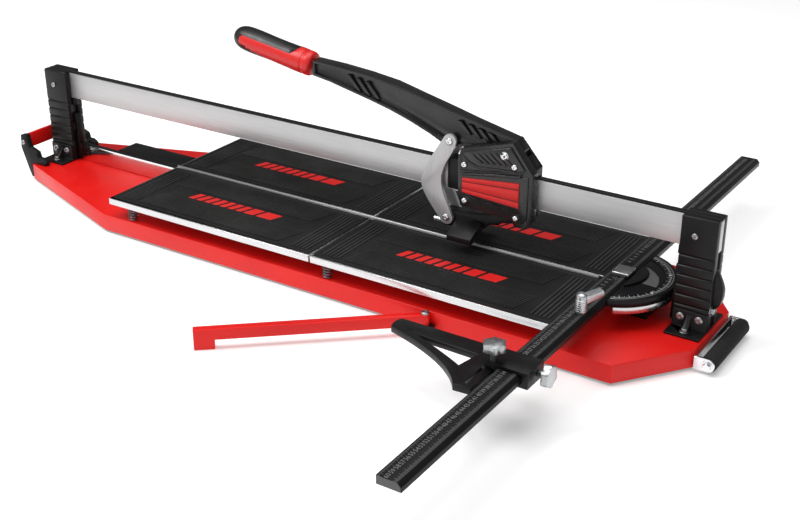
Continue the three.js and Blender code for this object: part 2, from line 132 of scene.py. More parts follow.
class Finish:
    """A material and the steps that build it."""

    def __init__(self, name, roughness=0.5, metallic=0.0, coat=0.0, coat_roughness=0.1, specular=0.5):
        self.material = bpy.data.materials.new(name)
        self.material.use_nodes = True
        self.tree = self.material.node_tree
        self.shader = self.tree.nodes["Principled BSDF"]
        self.shader.inputs["Roughness"].default_value = roughness
        self.shader.inputs["Metallic"].default_value = metallic
        self.shader.inputs["Coat Weight"].default_value = coat
        self.shader.inputs["Coat Roughness"].default_value = coat_roughness
        self.shader.inputs["Specular IOR Level"].default_value = specular
        self.place = self.add("ShaderNodeTexCoord").outputs["Object"]

    def add(self, kind, settings=None, inputs=None):
        """A node: its settings are made first, then the values or links of its sockets."""
        node = self.tree.nodes.new(kind)
        for name, setting in (settings or {}).items():
            setattr(node, name, setting)
        for name, term in (inputs or {}).items():
            if isinstance(term, Value):
                self.tree.links.new(term.socket, node.inputs[name])
            elif isinstance(term, bpy.types.NodeSocket):
                self.tree.links.new(term, node.inputs[name])
            else:
                node.inputs[name].default_value = term
        return node

    def axis(self, name, origin=0.0):
        """How far along one axis a point is, in millimetres from a place in metres."""
        apart = self.add("ShaderNodeSeparateXYZ", None, {"Vector": self.place})
        return (Value(self.tree, apart.outputs[name]) - origin) * 1000

    def noise(self, size, detail=3.0, stretch=(1, 1, 1), roughness=0.5):
        """Noise whose features are about this many millimetres across, drawn out along the axes."""
        scaled = self.add("ShaderNodeMapping", None, {"Vector": self.place, "Scale": stretch})
        settings = {"Scale": 1000 / size, "Detail": detail, "Roughness": roughness}
        made = self.add("ShaderNodeTexNoise", None, {"Vector": scaled.outputs[0], **settings})
        return Value(self.tree, made.outputs[0])

    def spread(self, value, low, high):
        """Takes a number from its useful middle range to the range low to high."""
        made = self.add("ShaderNodeMapRange", {"clamp": True}, {
            "Value": value, "From Min": 0.3, "From Max": 0.7, "To Min": low, "To Max": high})
        return Value(self.tree, made.outputs[0])

    def mix(self, factor, first, second):
        """A colour between two colours, each a tuple or a socket."""
        made = self.add("ShaderNodeMix", {"data_type": "RGBA"})
        self.wire(made.inputs[0], factor)
        self.wire(made.inputs[6], first)
        self.wire(made.inputs[7], second)
        return made.outputs[2]

    def wire(self, socket, term):
        if isinstance(term, Value):
            self.tree.links.new(term.socket, socket)
        elif isinstance(term, bpy.types.NodeSocket):
            self.tree.links.new(term, socket)
        else:
            socket.default_value = (*term, 1.0) if isinstance(term, tuple) and len(term) == 3 else term

    def colour(self, term):
        self.wire(self.shader.inputs["Base Color"], term)

    def roughness(self, term):
        self.wire(self.shader.inputs["Roughness"], term)

    def relief(self, height, strength, distance=0.0004):
        settings = {"Strength": strength, "Distance": distance}
        made = self.add("ShaderNodeBump", None, {"Height": height, **settings})
        self.tree.links.new(made.outputs[0], self.shader.inputs["Normal"])


def red_coat():
    finish = Finish("red_powder_coat", coat=0.06, coat_roughness=0.2, specular=0.28)
    cloud = finish.noise(160, 4)
    finish.colour(finish.mix(finish.spread(cloud, 0.0, 1.0), (0.62, 0.005, 0.004), (0.74, 0.010, 0.007)))
    finish.roughness(finish.spread(finish.noise(35, 5), 0.30, 0.44))
    finish.relief(finish.noise(1.6, 2), 0.10)
    return finish.material


def black_coat():
    finish = Finish("black_satin_coat", specular=0.24)
    cloud = finish.spread(finish.noise(90, 4), 0, 1)
    finish.colour(finish.mix(cloud, (0.004, 0.004, 0.0045), (0.008, 0.008, 0.0085)))
    finish.roughness(finish.spread(finish.noise(18, 5), 0.30, 0.46))
    finish.relief(finish.noise(0.9, 2), 0.16, 0.0003)
    return finish.material


def cover_coat():
    finish = Finish("gloss_black_coat", specular=0.5)
    cloud = finish.spread(finish.noise(60, 4), 0, 1)
    finish.colour(finish.mix(cloud, (0.007, 0.007, 0.0075), (0.014, 0.014, 0.0145)))
    finish.roughness(finish.spread(finish.noise(20, 5), 0.20, 0.32))
    finish.relief(finish.noise(1.1, 2), 0.10, 0.0002)
    return finish.material


def black_plastic():
    finish = Finish("black_plastic", specular=0.22)
    finish.colour(finish.mix(finish.noise(60, 4), (0.005, 0.005, 0.0055), (0.010, 0.010, 0.0105)))
    finish.roughness(finish.spread(finish.noise(25, 4), 0.42, 0.58))
    finish.relief(finish.noise(0.6, 2), 0.25, 0.0003)
    return finish.material


def black_rubber():
    finish = Finish("black_rubber", specular=0.18)
    finish.colour(finish.mix(finish.noise(40, 5), (0.005, 0.005, 0.005), (0.012, 0.012, 0.0115)))
    finish.roughness(finish.spread(finish.noise(12, 4), 0.62, 0.82))
    finish.relief(finish.noise(1.2, 3), 0.3, 0.0003)
    return finish.material


def grip_coat():
    finish = Finish("grip_black", specular=0.4)
    finish.colour(finish.mix(finish.noise(30, 5), (0.005, 0.005, 0.005), (0.012, 0.012, 0.012)))
    finish.roughness(finish.spread(finish.noise(16, 4), 0.26, 0.40))
    finish.relief(finish.noise(1.0, 2), 0.12, 0.0002)
    return finish.material


def pad_rubber(name, tone):
    finish = Finish(name, specular=0.18)
    cloud = finish.spread(finish.noise(70, 5), 0, 1)
    finish.colour(finish.mix(cloud, tone, tuple(part * 1.8 for part in tone)))
    finish.roughness(finish.spread(finish.noise(14, 4), 0.44, 0.60))
    finish.relief(finish.noise(0.9, 3), 0.20, 0.0002)
    return finish.material


def brushed(name, tone, roughness, stretch, metallic=1.0):
    """Drawn or ground metal, with its grain along the axis whose stretch is smallest."""
    finish = Finish(name, metallic=metallic)
    grain = finish.noise(1.2, 3, stretch)
    cloud = finish.noise(120, 4)
    light = tuple(min(1.0, part * 1.08) for part in tone)
    dark = tuple(part * 0.88 for part in tone)
    finish.colour(finish.mix(finish.spread(grain * 0.6 + cloud * 0.4, 0, 1), dark, light))
    finish.roughness(finish.spread(grain * 0.5 + cloud * 0.5, roughness - 0.06, roughness + 0.08))
    finish.relief(grain, 0.04, 0.0001)
    return finish.material


def chrome():
    finish = Finish("bright_chrome", metallic=1.0)
    finish.colour(finish.mix(finish.noise(30, 3), (0.72, 0.73, 0.75), (0.82, 0.83, 0.85)))
    finish.roughness(finish.spread(finish.noise(9, 5), 0.10, 0.22))
    return finish.material


def cast_silver():
    finish = Finish("cast_silver", metallic=1.0)
    finish.colour(finish.mix(finish.noise(12, 5), (0.40, 0.41, 0.42), (0.58, 0.59, 0.61)))
    finish.roughness(finish.spread(finish.noise(4, 4), 0.26, 0.42))
    finish.relief(finish.noise(0.7, 3), 0.22, 0.0003)
    return finish.material


def ruler_print():
    """Black anodised bar with printed millimetre, half and whole centimetre strokes near its left edge."""
    finish = Finish("ruler_black", specular=0.2)
    x = finish.axis("X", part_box("angle_ruler")[0].x)
    y = finish.axis("Y", middle.y)
    top = finish.axis("Z", 0) > 83.7
    strokes = 0
    for pitch, width, reach in ((1, 0.30, 2.6), (5, 0.45, 4.0), (10, 0.55, 5.2)):
        near = abs((y / pitch + 0.5).fraction() - 0.5) < width / pitch / 2
        strokes = strokes + near * (x.between(1.4, 1.4 + reach) + x.between(25.6 - reach, 25.6))
    strokes = strokes + x.between(26.4, 26.8)
    scale = (strokes > 0.5) * top
    base = finish.mix(finish.noise(50, 4), (0.005, 0.005, 0.0055), (0.010, 0.010, 0.0105))
    finish.colour(finish.mix(scale, base, (0.13, 0.13, 0.13)))
    finish.roughness(finish.spread(finish.noise(10, 4, (1, 0.05, 1)), 0.34, 0.46))
    finish.relief(finish.noise(0.8, 2, (1, 0.1, 1)), 0.12, 0.0002)
    return finish.material


def dial_print():
    """Black wedge with printed degree strokes round its rim."""
    finish = Finish("protractor_black", specular=0.2)
    x = finish.axis("X", pivot.x)
    y = finish.axis("Y", pivot.y)
    radius = (x * x + y * y).root()
    angle = y.angle_from(x) * (180 / math.pi)
    strokes = 0
    for pitch, width, inner in ((1, 0.28, 79.5), (5, 0.40, 77.5), (10, 0.50, 75)):
        near = abs((angle / pitch + 0.5).fraction() - 0.5) < width / pitch / 2
        strokes = strokes + near * radius.between(inner, 82)
    scale = (strokes > 0.5) * (finish.axis("Z", 0) > 81.8)
    finish.colour(finish.mix(scale, (0.005, 0.005, 0.006), (0.5, 0.5, 0.5)))
    finish.roughness(finish.spread(finish.noise(14, 4), 0.24, 0.36))
    finish.relief(finish.noise(0.8, 2), 0.1, 0.0002)
    return finish.material


def flat_print(name, tone, roughness=0.45):
    finish = Finish(name)
    dark = tuple(part * 0.8 for part in tone)
    finish.colour(finish.mix(finish.noise(9, 4), tone, dark))
    finish.roughness(finish.spread(finish.noise(6, 4), roughness - 0.06, roughness + 0.08))
    return finish.material


def foam():
    finish = Finish("handle_foam", specular=0.15)
    cells = finish.noise(1.1, 4)
    finish.colour(finish.mix(cells, (0.010, 0.010, 0.010), (0.032, 0.032, 0.031)))
    finish.roughness(finish.spread(finish.noise(5, 3), 0.75, 0.9))
    finish.relief(cells, 0.6, 0.0005)
    return finish.material


def floor_finish():
    finish = Finish("pale_floor", roughness=0.9)
    finish.colour(finish.mix(finish.noise(900, 3), (0.90, 0.90, 0.90), (0.92, 0.92, 0.92)))
    finish.shader.inputs["Emission Color"].default_value = (1, 1, 1, 1)
    finish.shader.inputs["Emission Strength"].default_value = 0.26
    return finish.material


PIVOT_X = 386
pivot = at(PIVOT_X, 0, 72)
RED = red_coat()
BLACK = black_coat()
PLASTIC = black_plastic()
COVER = cover_coat()
RUBBER = black_rubber()
PAD = pad_rubber("pad_rubber", (0.008, 0.008, 0.008))
# the ribs are the pad's own rubber made lighter: a painted highlight for the light that catches their tops
PAD_RIBS_LIT = pad_rubber("pad_rib_rubber_painted_highlight", (0.022, 0.022, 0.0215))
RAIL = brushed("rail_aluminium", (0.57, 0.57, 0.575), 0.40, (0.02, 1, 1), 0.7)
PLATE = brushed("plate_aluminium", (0.64, 0.65, 0.66), 0.24, (0.02, 1, 1))
BEAM = brushed("polished_beam", (0.80, 0.80, 0.81), 0.12, (0.02, 1, 1))
STEEL = brushed("zinc_steel", (0.38, 0.38, 0.39), 0.34, (1, 1, 0.05))
LINK_STEEL = brushed("link_steel", (0.50, 0.50, 0.51), 0.40, (1, 1, 0.04), 0.55)
SPRING_STEEL = brushed("spring_steel", (0.16, 0.16, 0.17), 0.30, (1, 1, 1))
CHROME = chrome()
SILVER = cast_silver()
RULER = ruler_print()
DIAL = dial_print()
MARK_RED = flat_print("mark_red", (0.72, 0.010, 0.008))
GROOVE_RED = flat_print("groove_red", (0.22, 0.004, 0.004))
GRIP_RED = flat_print("grip_red", (0.70, 0.012, 0.010), 0.36)
GRIP_BLACK = grip_coat()
PRINT_WHITE = flat_print("print_white", (0.20, 0.20, 0.20))
CAP_GREY = flat_print("cap_grey", (0.085, 0.085, 0.088), 0.5)
FOAM = foam()

slot_finish = {
    "red_coat": RED, "black_cast": BLACK, "black_plastic": PLASTIC, "rubber": RUBBER, "grip_rubber": RUBBER,
    "aluminium": PLATE, "steel": STEEL, "chrome": CHROME,
}
own_finish = {
    "guide_rail": RAIL, "angle_ruler": RULER, "protractor_disc": DIAL, "stop_top_knob": SILVER,
    "stop_side_knob": SILVER, "clamp_lever": SILVER, "right_handle_roller": FOAM, "link_front": LINK_STEEL,
    "link_rear": LINK_STEEL, "centre_beam": BEAM, "breaking_ridge": STEEL, "lever": COVER,
    "carriage_front_cover": COVER, "lever_pivot_bolt": CHROME,
}


# ---------------------------------------------------------------- modelling steps
def select_only(*pieces):
    bpy.ops.object.select_all(action="DESELECT")
    for piece in pieces:
        piece.select_set(True)
    bpy.context.view_layer.objects.active = pieces[0]


def settle(piece):
    """Puts the piece's place, turn and size into its mesh."""
    select_only(piece)
    bpy.ops.object.transform_apply(location=True, rotation=True, scale=True)


def cube(name, low, high):
    """A block between two corners in millimetres."""
    bpy.ops.object.select_all(action="DESELECT")
    a, b = at(*low), at(*high)
    bpy.ops.mesh.primitive_cube_add(size=1, location=(a + b) / 2)
    piece = bpy.context.object
    piece.name = name
    piece.scale = b - a
    settle(piece)
    return piece


def plate(name, outline, axis, low, high):
    """A flat outline in millimetres, raised into a plate along an axis from low to high."""
    places = {
        "x": lambda a, b: at(low, a, b),
        "y": lambda a, b: at(a, low, b),
        "z": lambda a, b: at(a, b, low),
    }[axis]
    push = {"x": (1, 0, 0), "y": (0, 1, 0), "z": (0, 0, 1)}[axis]
    points = [places(a, b) for a, b in outline]
    bpy.ops.object.select_all(action="DESELECT")
    bpy.ops.mesh.primitive_circle_add(vertices=len(points), radius=10 * MM, fill_type="NGON")
    piece = bpy.context.object
    piece.name = name
    for vertex, point in zip(piece.data.vertices, points):
        vertex.co = point
    bpy.ops.object.mode_set(mode="EDIT")
    bpy.ops.mesh.select_all(action="SELECT")
    bpy.ops.mesh.extrude_region_move(
        TRANSFORM_OT_translate={"value": tuple(part * (high - low) * MM for part in push)})
    bpy.ops.mesh.select_all(action="SELECT")
    bpy.ops.mesh.normals_make_consistent(inside=False)
    bpy.ops.object.mode_set(mode="OBJECT")
    return piece


def pick_faces(piece, test):
    """Selects the faces whose middle and normal pass a test, and leaves the piece in edit mode."""
    select_only(piece)
    bpy.ops.object.mode_set(mode="EDIT")
    bpy.ops.mesh.select_mode(type="FACE")
    bpy.ops.mesh.select_all(action="DESELECT")
    mesh = bmesh.from_edit_mesh(piece.data)
    for face in mesh.faces:
        face.select = bool(test(face.calc_center_median(), face.normal))
    bmesh.update_edit_mesh(piece.data)


def done_editing():
    bpy.ops.object.mode_set(mode="OBJECT")


def push_in(piece, test, thickness, depth=0.0):
    """Insets the picked faces by a width and a depth in millimetres; a minus depth raises them."""
    pick_faces(piece, test)
    bpy.ops.mesh.inset(thickness=thickness * MM, depth=-depth * MM, use_even_offset=True)
    done_editing()


def round_edges(piece, width, segments=2, angle=32):
    """Rounds the piece's sharp edges by a width in millimetres."""
    select_only(piece)
    edge = piece.modifiers.new("edge", "BEVEL")
    edge.width = width * MM
    edge.segments = segments
    edge.limit_method = "ANGLE"
    edge.angle_limit = math.radians(angle)
    bpy.ops.object.modifier_apply(modifier="edge")


def joined(name, pieces):
    """Several solids made one piece."""
    select_only(*pieces)
    bpy.ops.object.join()
    piece = bpy.context.object
    piece.name = name
    return piece


def finish_piece(piece, finish, body, angle=32):
    """Smooths the piece, gives it its finish and fixes it to its body."""
    select_only(piece)
    bpy.ops.object.shade_smooth_by_angle(angle=math.radians(angle))
    piece.data.materials.clear()
    piece.data.materials.append(finish)
    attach(piece, body)
    return piece


def refined(node, width, finish, segments=2):
    """A copy of a solid with its flat faces merged and its edges rounded, in place of the solid."""
    piece = bpy.data.objects.new(f"{node}_piece", frame["nodes"][node].data.copy())
    bpy.context.scene.collection.objects.link(piece)
    select_only(piece)
    bpy.ops.object.mode_set(mode="EDIT")
    bpy.ops.mesh.select_all(action="SELECT")
    bpy.ops.mesh.remove_doubles(threshold=0.00002)
    bpy.ops.mesh.dissolve_limited(angle_limit=math.radians(1))
    done_editing()
    if width:
        round_edges(piece, width, segments)
    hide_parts(node)
    return finish_piece(piece, finish, body_of[node])


# edge rounding of each solid in millimetres, where it isn't 0.8
edge_widths = {
    "base_pan": 1.8, "guide_rail": 0.5, "rail_top_strip": 0.8, "support_arm": 1.2, "lever": 1.5,
    "carriage_front_cover": 2.0, "carriage_rear_cover": 1.5, "carriage_body": 1.0, "scoring_wheel": 0.0,
    "angle_ruler": 0.6, "side_stop_frame": 1.2, "stop_clamp": 1.5, "stop_top_knob": 1.4,
    "stop_side_knob": 1.4, "clamp_lever": 1.6, "link_front": 0.7, "link_rear": 0.7,
    "right_handle_roller": 2.0, "breaking_ridge": 0.3, "left_handle_strap": 1.5,
    "left_handle_front_bracket": 2.0, "left_handle_rear_bracket": 2.0, "upper_left_roller": 0.3,
    "upper_right_roller": 0.3, "lower_left_roller": 0.3, "lower_right_roller": 0.3,
}
rebuilt = {
    "protractor_disc",
    "front_left_spring", "front_right_spring", "rear_left_spring", "rear_right_spring", "lever_grip",
    "front_left_pad", "front_right_pad", "rear_left_pad", "rear_right_pad",
}


def refine_solids():
    for node in sorted(body_of):
        if node in rebuilt:
            continue
        finish = own_finish.get(node, slot_finish[slot_of[node]])
        refined(node, edge_widths.get(node, 0.8), finish, 3 if node == "base_pan" else 2)


# ---------------------------------------------------------------- table pads and springs
def coil_spring(node, turns=4.5):
    """A wound spring in the solid's place."""
    low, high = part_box(node)
    centre = (low + high) / 2
    radius = (high.x - low.x) / 2
    wire = 1.3 * MM
    steps_per_turn = 20
    bpy.ops.object.select_all(action="DESELECT")
    bpy.ops.mesh.primitive_circle_add(
        vertices=8, radius=wire, location=(centre.x + radius - wire, centre.y, low.z + wire),
        rotation=(math.pi / 2, 0, 0))
    piece = bpy.context.object
    piece.name = node.replace("spring", "coil")
    settle(piece)
    bpy.ops.object.mode_set(mode="EDIT")
    bpy.ops.mesh.select_all(action="SELECT")
    rise = high.z - low.z - 2 * wire
    bpy.ops.mesh.edge_face_add()
    bpy.ops.mesh.select_all(action="SELECT")
    spin_round(turns, steps_per_turn, rise, centre)
    bpy.ops.mesh.select_all(action="SELECT")
    bpy.ops.mesh.normals_make_consistent(inside=False)
    done_editing()
    finish_piece(piece, SPRING_STEEL, "frame", 60)
    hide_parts(node)
    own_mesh(piece)


def spin_round(turns, steps_per_turn, rise, centre):
    """Draws the selected section round an upright axis while it climbs."""
    steps = round(turns * steps_per_turn)
    bpy.ops.mesh.spin(
        steps=steps, angle=turns * 2 * math.pi, center=tuple(centre), axis=(0, 0, 1), use_auto_merge=False)
    mesh = bmesh.from_edit_mesh(bpy.context.object.data)
    mesh.verts.ensure_lookup_table()
    section = 8
    for vert in mesh.verts:
        step = vert.index // section
        vert.co.z += rise * min(step, steps) / steps
    bmesh.update_edit_mesh(bpy.context.object.data)


def repeat(piece, step, count):
    """Repeats a piece along a step in millimetres."""
    select_only(piece)
    row = piece.modifiers.new("row", "ARRAY")
    row.use_relative_offset = False
    row.use_constant_offset = True
    row.constant_offset_displace = Vector(step) * MM
    row.count = count
    bpy.ops.object.modifier_apply(modifier="row")
    return piece


def slanted_rib(name, x, y0, y1, lean, z0, z1, width=2.2):
    """A low moulded rib from y0 to y1 that leans along x, narrower at its top."""
    outline = [(x, y0), (x + width, y0), (x + width + lean, y1), (x + lean, y1)]
    rib = plate(name, outline, "z", z0, z1)
    round_edges(rib, 0.4, 1)
    return rib


RIB_PITCH = 4.4
BAND = 50
BORDER = 11


def rounded_corners(x0, y0, x1, y1, radius, steps=6):
    """The outline of a block with round corners, in millimetres."""
    outline = []
    corners = ((x1, y1, 0), (x0, y1, 90), (x0, y0, 180), (x1, y0, 270))
    for x, y, start in corners:
        inner_x = x - radius if x == x1 else x + radius
        inner_y = y - radius if y == y1 else y + radius
        for step in range(steps + 1):
            angle = math.radians(start + 90 * step / steps)
            outline.append((inner_x + radius * math.cos(angle), inner_y + radius * math.sin(angle)))
    return outline


def table_pad(row, side):
    """A moulded pad: a raised border, slanted ribs beside a smooth middle and ribs across both ends."""
    node = f"{row}_{side}_pad"
    low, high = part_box(node)
    x0, x1 = ((edge - middle.x) / MM for edge in (low.x, high.x))
    y0, y1 = ((edge - middle.y) / MM for edge in (low.y, high.y))
    bottom, top = low.z / MM, high.z / MM
    border_top = top - 0.3
    field = border_top - 1.0
    slab = plate(node + "_slab", rounded_corners(x0, y0, x1, y1, 6), "z", bottom, border_top)
    push_in(slab, lambda place, normal: normal.z > 0.9, 4.5)
    push_in(slab, lambda place, normal: normal.z > 0.9 and touches_middle(place, x0, y0, x1, y1), 1.2, 1.0)
    round_edges(slab, 0.7, 2)
    parts = []
    inner0, inner1 = x0 + 50, x1 - 50
    count = int((inner1 - inner0 - 16) / RIB_PITCH)
    for start in (y0 + BORDER, y1 - BORDER - BAND):
        rib = slanted_rib(node + "_rib", inner0, start, start + BAND, 14, field, top)
        parts.append(repeat(rib, (RIB_PITCH, 0, 0), count))
    for start in (x0 + BORDER, x1 - BORDER - 30):
        rib = slanted_rib(node + "_end_rib", start, y0 + BORDER, y1 - BORDER, 0, field, top, 3.2)
        parts.append(repeat(rib, (6.6, 0, 0), 5))
    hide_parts(node)
    finish_piece(slab, PAD, body_of[node])
    # the ribs take the lighter rubber, a painted highlight on their tops
    finish_piece(joined(f"{row}_{side}_pad_ribs", parts), PAD_RIBS_LIT, body_of[node])
    pad_mark(row, side, (x0 + x1) / 2, (y0 + y1) / 2, field)


def touches_middle(place, x0, y0, x1, y1):
    """Whether a face's middle is the middle of the pad."""
    centre = at((x0 + x1) / 2, (y0 + y1) / 2, 0)
    return abs(place.x - centre.x) < 5 * MM and abs(place.y - centre.y) < 5 * MM


def pad_mark(row, side, x, y, z):
    """A plain inlaid stripe mark: a row of slanted bars that ends in two longer ones."""
    bars = []
    half = 11
    lean = 8
    gap = 5.5
    place = x - 96
    for width in [11] * 7 + [20, 30]:
        end = place + width
        outline = [(place, y - half), (end, y - half), (end + lean, y + half), (place + lean, y + half)]
        bars.append(plate("mark_bar", outline, "z", z - 0.2, z + 0.6))
        place = end + gap
    mark = joined(f"{row}_{side}_mark", bars)
    round_edges(mark, 0.15, 1)
    finish_piece(mark, MARK_RED, f"{row}_{side}_table")


# ---------------------------------------------------------------- screws and bolts
FACING = {"-y": Matrix.Rotation(math.pi / 2, 4, "X"), "+y": Matrix.Rotation(-math.pi / 2, 4, "X"),
          "+x": Matrix.Rotation(math.pi / 2, 4, "Y"), "+z": Matrix.Identity(4)}


def turned(name, profile, sides=32):
    """A round body drawn up from the origin along z by its profile of heights and radii in millimetres."""
    first_height, first_radius = profile[0]
    bpy.ops.object.select_all(action="DESELECT")
    bpy.ops.mesh.primitive_circle_add(
        vertices=sides, radius=first_radius * MM, location=(0, 0, first_height * MM), fill_type="NGON")
    piece = bpy.context.object
    piece.name = name
    settle(piece)
    bpy.ops.object.mode_set(mode="EDIT")
    bpy.ops.mesh.select_all(action="SELECT")
    before_height, before_radius = first_height, first_radius
    for height, radius in profile[1:]:
        rise = (height - before_height) * MM
        bpy.ops.mesh.extrude_region_move(TRANSFORM_OT_translate={"value": (0, 0, rise)})
        share = radius / before_radius
        bpy.ops.transform.resize(value=(share, share, 1), center_override=(0, 0, height * MM))
        before_height, before_radius = height, radius
    bpy.ops.mesh.select_all(action="SELECT")
    bpy.ops.mesh.normals_make_consistent(inside=False)
    done_editing()
    return piece


def set_at(piece, facing, place):
    """Turns a piece made at the origin to face a side and moves it to its place in millimetres."""
    piece.data.transform(Matrix.Translation(at(*place)) @ FACING[facing])
    return piece


def socket_screw(radius, height):
    """A domed screw head with a six-sided socket, standing on the origin."""
    profile = [(0, radius), (height * 0.55, radius), (height * 0.85, radius * 0.88), (height, radius * 0.62)]
    head = turned("screw_head", profile)
    socket = turned("socket", [(height * 0.4, radius * 0.42), (height + 1, radius * 0.42)], 6)
    hollow(head, socket)
    round_edges(head, radius * 0.05, 1)
    return head


def hollow(piece, tool):
    """Cuts one closed shape out of another."""
    select_only(piece)
    cutter = piece.modifiers.new("hollow", "BOOLEAN")
    cutter.operation = "DIFFERENCE"
    cutter.object = tool
    cutter.solver = "EXACT"
    bpy.ops.object.modifier_apply(modifier="hollow")
    bpy.data.objects.remove(tool)


def hex_bolt(radius, height):
    """A six-sided bolt head on a round washer."""
    washer = turned("washer", [(0, radius * 1.35), (1.2, radius * 1.35)])
    head = turned("bolt_head", [(1.2, radius), (height, radius), (height + 0.6, radius * 0.86)], 6)
    round_edges(washer, 0.25, 1)
    round_edges(head, 0.3, 1)
    return joined("hex_bolt", [washer, head])


def fasteners(name, maker, facing, places, body, finish=None):
    """One kind of fastener at several places, as one piece."""
    made = []
    for place in places:
        made.append(set_at(maker(), facing, place))
    return finish_piece(joined(name, made), finish or STEEL, body)


def add_fasteners():
    small = lambda: socket_screw(4.6, 3.0)
    large = lambda: socket_screw(6.2, 3.4)
    front = -27.0
    fasteners("cover_screws", small, "-y",
              [(152, front - 3, 207), (235, front - 3, 220), (152, front, 149), (238, front, 140),
               (219, front - 3, 234)], "carriage", CHROME)
    fasteners("link_screws", lambda: socket_screw(5.6, 3.2), "-y",
              [(118, -16.3, 232), (114, -16.3, 109)], "links", CHROME)
    fasteners("link_screws_rear", lambda: socket_screw(5.6, 3.2), "+y",
              [(118, 16.3, 232), (114, 16.3, 109)], "links", CHROME)
    for side, x in (("left", -711), ("right", 511)):
        fasteners(f"{side}_post_tab_screws", large, "-y",
                  [(x - 13, -20.3, 52), (x + 14, -20.3, 52)], "frame")
        fasteners(f"{side}_post_top_screw", small, "-y", [(x - 5, -17, 174)], "frame")
        fasteners(f"{side}_post_foot_bolt", lambda: hex_bolt(5, 5), "+z",
                  [(x - 1, -33, 36.3), (x - 1, 36, 36.3)], "frame")
        fasteners(f"{side}_post_rear_screws", small, "+y", [(x - 14, 17, 174), (x + 14, 17, 174)], "frame")
    fasteners("right_post_end_bolt", lambda: hex_bolt(5.5, 4.5), "+x", [(537, -11, 66)], "frame")
    fasteners("left_handle_screws", small, "-y", [(-757, -68, 71)], "frame")
    fasteners("right_handle_bolt", lambda: hex_bolt(6, 5), "-y", [(560, -70.3, 15)], "frame", CHROME)
    fasteners("arm_pivot_screw", large, "+z", [(177, -176, 32.5)], "extension_arm")
    fasteners("protractor_screw", lambda: socket_screw(3.4, 2), "+z",
              [(459, 33, 82), (459, -33, 82)], "guide")


# ---------------------------------------------------------------- carriage cover
def cover_panels():
    """Raised panels, ribs and the lip over the label on the front of the carriage cover."""
    face = -27.0
    upper = [(146, 197), (240, 212), (252, 217), (227, 248), (151, 227)]
    lower = [(145, 190), (243, 206), (257, 208), (257, 142), (247, 132), (243, 147), (232, 150), (146, 161)]
    made = []
    for outline, raised, edge in ((upper, 3.0, 1.6), (lower, 2.2, 1.4)):
        panel = plate("cover_panel", outline, "y", face - raised, face + 1)
        round_edges(panel, edge, 3)
        made.append(panel)
    for step in range(6):
        x = 160 + step * 10
        base = 214 + step * 0.9
        rise = 13 + step * 1.2
        outline = [(x, base + rise), (x + 4.5, base + rise + 1), (x + 24, base + 1.5), (x + 19.5, base)]
        bar = plate("cover_rib", outline, "y", face - 5, face - 2.5)
        round_edges(bar, 0.9, 2)
        made.append(bar)
    arch = [(149, 222), (160, 214), (174, 209.5), (205, 212), (238, 214.5),
            (238, 211.5), (205, 208.5), (174, 206), (158, 210.5), (148, 218)]
    rim = plate("cover_arch", arch, "y", face - 4.8, face - 2.5)
    round_edges(rim, 0.9, 2)
    made.append(rim)
    lip = [(146, 193.5), (200, 202.5), (241, 208), (247, 212),
           (245, 206.5), (240, 203.8), (200, 198.6), (146, 189.6)]
    bead = plate("cover_lip", lip, "y", face - 4.2, face - 1.5)
    round_edges(bead, 1.2, 3)
    made.append(bead)
    finish_piece(joined("cover_panels", made), COVER, "carriage")


def cover_label():
    """A plain red label of three strips over a darker base."""
    face = -29.2
    left, right = 148, 244
    left_foot, left_top = 162.5, 186.5
    right_foot, right_top = 157, 197.5
    corners = [(left, left_foot), (right, right_foot), (right, right_top), (left, left_top)]
    base = plate("label_base", corners, "y", face - 0.5, face + 0.3)
    finish_piece(base, GROOVE_RED, "carriage")
    strips = []
    for shares in ((0.03, 0.24), (0.30, 0.70), (0.76, 0.97)):
        left_low, left_high = (left_foot + (left_top - left_foot) * share for share in shares)
        right_low, right_high = (right_foot + (right_top - right_foot) * share for share in shares)
        outline = [
            (left + 1, left_low), (right - 1, right_low), (right - 1, right_high), (left + 1, left_high)]
        strip = plate("label_strip", outline, "y", face - 1.4, face - 0.4)
        round_edges(strip, 0.4, 2)
        strips.append(strip)
    finish_piece(joined("cover_label", strips), MARK_RED, "carriage")


# ---------------------------------------------------------------- lever and grip
def lever_ribs():
    """Slanted ribs in the sunk sides of the lever, near its neck and over the carriage."""
    groups = (((-72, -55, -38), 300, 276, 20), ((126, 143, 160, 177), 264, 245, 17))
    made = []
    for starts, high, low, lean in groups:
        for step, x in enumerate(starts):
            drop = step * 2.6 if x < 0 else step * 3.0
            top, foot = high - drop, low - drop
            outline = [(x, top), (x + 7, top), (x + 7 + lean, foot), (x + lean, foot)]
            for y0, y1 in ((-8.5, -3.8), (3.8, 8.5)):
                rib = plate("lever_rib", outline, "y", y0, y1)
                round_edges(rib, 0.8, 2)
                made.append(rib)
    finish_piece(joined("lever_ribs", made), COVER, "lever_body")


GRIP_PROFILE = [
    (0, 15.2), (1.2, 17.4), (4, 18.8), (9, 19.3), (12, 19.2), (13, 18.3), (15.5, 18.3), (16.5, 19.3),
    (20, 19.5), (24, 19.6), (30, 19.5), (40, 19.2), (52, 19.0), (64, 19.0), (76, 19.1), (88, 19.4),
    (100, 19.7), (112, 19.9), (122, 19.9), (130, 19.6), (137, 18.8), (143, 17.2), (148, 14.8),
    (152, 11.2), (154.4, 7.0), (155.3, 3.2),
]
GRIP_BASE = (-140, 0, 302.5)
GRIP_TILT = math.radians(9.5)
# the edges of the red panel as lines on the grip's side: a height, a length along it and the line's normal
PANEL_EDGES = [
    (10.5, 60, (1, 0)), (-17, 60, (78, -13)), (0, 136, (0, 1)), (10.5, 131, (6, 4)), (-7, 131, (6, -5)),
    (10.5, 37, (10, 8.5)),
]


